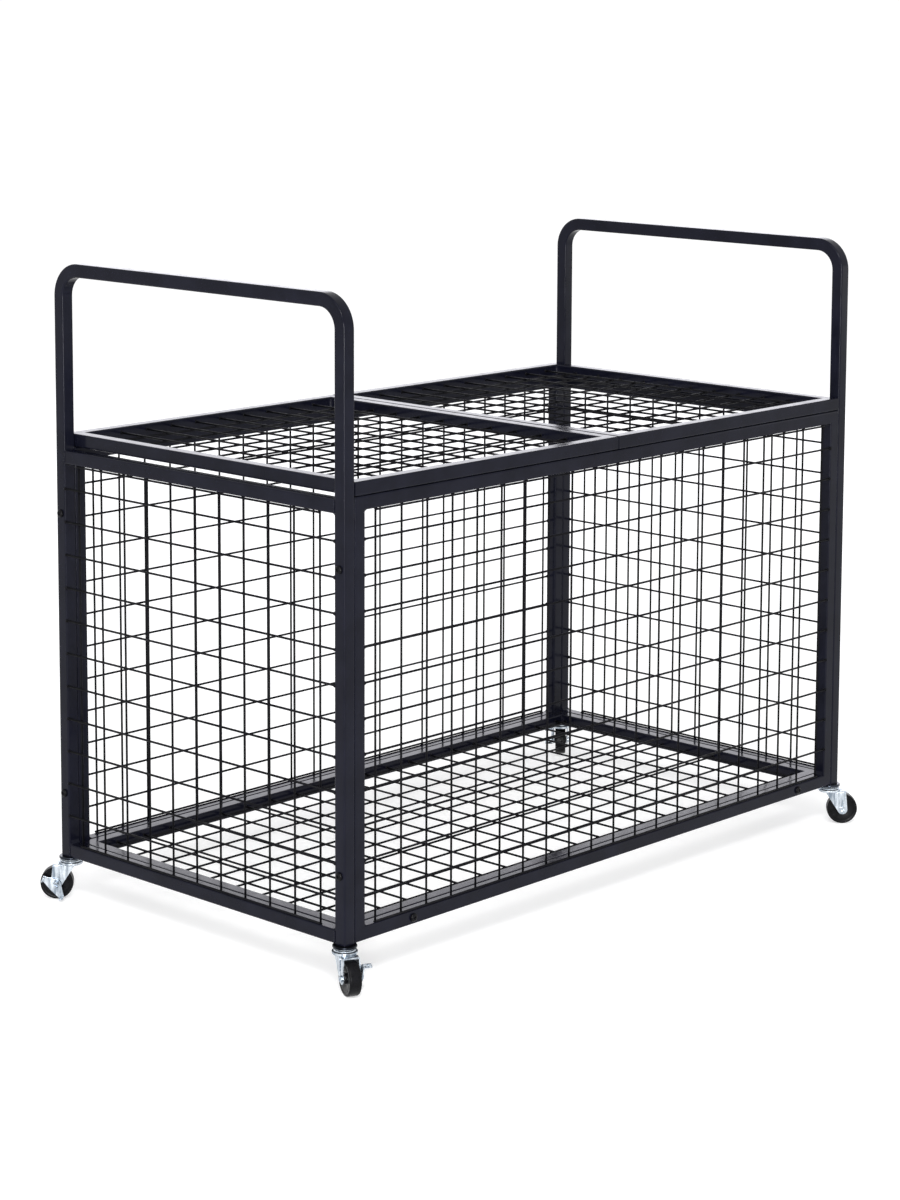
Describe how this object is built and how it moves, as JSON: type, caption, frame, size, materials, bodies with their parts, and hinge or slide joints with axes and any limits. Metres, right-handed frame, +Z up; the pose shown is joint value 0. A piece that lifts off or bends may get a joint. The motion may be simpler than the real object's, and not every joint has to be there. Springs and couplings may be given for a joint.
{
  "type": "ball cart",
  "caption": "Wheeled ball cage of black square tube and welded wire mesh, with hinged lids on top, a push handle at each end and braked swivel casters.",
  "frame": {"origin": "on the floor, under the middle of the cage", "axes": "+X along the cart towards its right end, +Y from the front to the hinged back, +Z up"},
  "size_m": [1.2187, 0.6827, 0.968],
  "materials": {
    "black_powder_coat": "satin",
    "black_bolt": "satin",
    "zinc_plate": "satin",
    "black_rubber": "matte"
  },
  "bodies": {
    "cage": {"left_handle_tube": "black_powder_coat", "left_top_rail": "black_powder_coat", "left_bottom_rail": "black_powder_coat", "left_mesh": "black_powder_coat", "right_handle_tube": "black_powder_coat", "right_top_rail": "black_powder_coat", "right_bottom_rail": "black_powder_coat", "right_mesh": "black_powder_coat", "front_frame": "black_powder_coat", "front_mesh": "black_powder_coat", "back_frame": "black_powder_coat", "back_mesh": "black_powder_coat", "floor_frame": "black_powder_coat", "floor_mesh": "black_powder_coat", "left_lid_hinge_left_fixed": "black_powder_coat", "left_lid_hinge_right_fixed": "black_powder_coat", "right_lid_hinge_left_fixed": "black_powder_coat", "right_lid_hinge_right_fixed": "black_powder_coat", "bolt_front_left_low": "black_bolt", "bolt_front_left_high": "black_bolt", "bolt_front_left_floor": "black_bolt", "bolt_back_left_low": "black_bolt", "bolt_back_left_high": "black_bolt", "bolt_back_left_floor": "black_bolt", "bolt_front_right_low": "black_bolt", "bolt_front_right_high": "black_bolt", "bolt_front_right_floor": "black_bolt", "bolt_back_right_low": "black_bolt", "bolt_back_right_high": "black_bolt", "bolt_back_right_floor": "black_bolt", "caster_front_left_stem": "zinc_plate", "caster_back_left_stem": "zinc_plate", "caster_front_right_stem": "zinc_plate", "caster_back_right_stem": "zinc_plate"},
    "left_lid": {"left_lid_frame": "black_powder_coat", "left_lid_mesh": "black_powder_coat", "left_lid_hinge_left_moving": "black_powder_coat", "left_lid_hinge_right_moving": "black_powder_coat"},
    "right_lid": {"right_lid_frame": "black_powder_coat", "right_lid_mesh": "black_powder_coat", "right_lid_hinge_left_moving": "black_powder_coat", "right_lid_hinge_right_moving": "black_powder_coat"},
    "front_left_fork": {"caster_front_left_fork": "zinc_plate", "caster_front_left_axle": "zinc_plate"},
    "front_left_wheel": {"caster_front_left_wheel": "black_rubber"},
    "front_left_brake": {"caster_front_left_brake": "zinc_plate"},
    "back_left_fork": {"caster_back_left_fork": "zinc_plate", "caster_back_left_axle": "zinc_plate"},
    "back_left_wheel": {"caster_back_left_wheel": "black_rubber"},
    "back_left_brake": {"caster_back_left_brake": "zinc_plate"},
    "front_right_fork": {"caster_front_right_fork": "zinc_plate", "caster_front_right_axle": "zinc_plate"},
    "front_right_wheel": {"caster_front_right_wheel": "black_rubber"},
    "front_right_brake": {"caster_front_right_brake": "zinc_plate"},
    "back_right_fork": {"caster_back_right_fork": "zinc_plate", "caster_back_right_axle": "zinc_plate"},
    "back_right_wheel": {"caster_back_right_wheel": "black_rubber"},
    "back_right_brake": {"caster_back_right_brake": "zinc_plate"}
  },
  "joints": [
    {"name": "left_lid_hinge", "type": "hinge", "parent": "cage", "child": "left_lid", "pos_m": [-0.27587, 0.3093, 0.6913], "axis": [-1, 0, 0], "range_deg": [0, 190]},
    {"name": "right_lid_hinge", "type": "hinge", "parent": "cage", "child": "right_lid", "pos_m": [0.27587, 0.3093, 0.6913], "axis": [-1, 0, 0], "range_deg": [0, 190]},
    {"name": "front_left_swivel", "type": "hinge", "parent": "cage", "child": "front_left_fork", "pos_m": [-0.562, -0.295, 0.06], "axis": [0, 0, 1], "continuous": true},
    {"name": "front_left_roll", "type": "hinge", "parent": "front_left_fork", "child": "front_left_wheel", "pos_m": [-0.57061, -0.31416, 0.025], "axis": [0.9121, -0.4099, 0], "continuous": true},
    {"name": "front_left_brake_press", "type": "hinge", "parent": "front_left_fork", "child": "front_left_brake", "pos_m": [-0.57061, -0.31416, 0.025], "axis": [0.9121, -0.4099, 0], "range_deg": [0, 35]},
    {"name": "back_left_swivel", "type": "hinge", "parent": "cage", "child": "back_left_fork", "pos_m": [-0.562, 0.295, 0.06], "axis": [0, 0, 1], "continuous": true},
    {"name": "back_left_roll", "type": "hinge", "parent": "back_left_fork", "child": "back_left_wheel", "pos_m": [-0.57651, 0.31018, 0.025], "axis": [-0.723, -0.6909, 0], "continuous": true},
    {"name": "back_left_brake_press", "type": "hinge", "parent": "back_left_fork", "child": "back_left_brake", "pos_m": [-0.57651, 0.31018, 0.025], "axis": [-0.723, -0.6909, 0], "range_deg": [0, 35]},
    {"name": "front_right_swivel", "type": "hinge", "parent": "cage", "child": "front_right_fork", "pos_m": [0.562, -0.295, 0.06], "axis": [0, 0, 1], "continuous": true},
    {"name": "front_right_roll", "type": "hinge", "parent": "front_right_fork", "child": "front_right_wheel", "pos_m": [0.57651, -0.31018, 0.025], "axis": [0.723, 0.6909, 0], "continuous": true},
    {"name": "front_right_brake_press", "type": "hinge", "parent": "front_right_fork", "child": "front_right_brake", "pos_m": [0.57651, -0.31018, 0.025], "axis": [0.723, 0.6909, 0], "range_deg": [0, 35]},
    {"name": "back_right_swivel", "type": "hinge", "parent": "cage", "child": "back_right_fork", "pos_m": [0.562, 0.295, 0.06], "axis": [0, 0, 1], "continuous": true},
    {"name": "back_right_roll", "type": "hinge", "parent": "back_right_fork", "child": "back_right_wheel", "pos_m": [0.5777, 0.30894, 0.025], "axis": [-0.6639, 0.7478, 0], "continuous": true},
    {"name": "back_right_brake_press", "type": "hinge", "parent": "back_right_fork", "child": "back_right_brake", "pos_m": [0.5777, 0.30894, 0.025], "axis": [-0.6639, 0.7478, 0], "range_deg": [0, 35]}
  ]
}
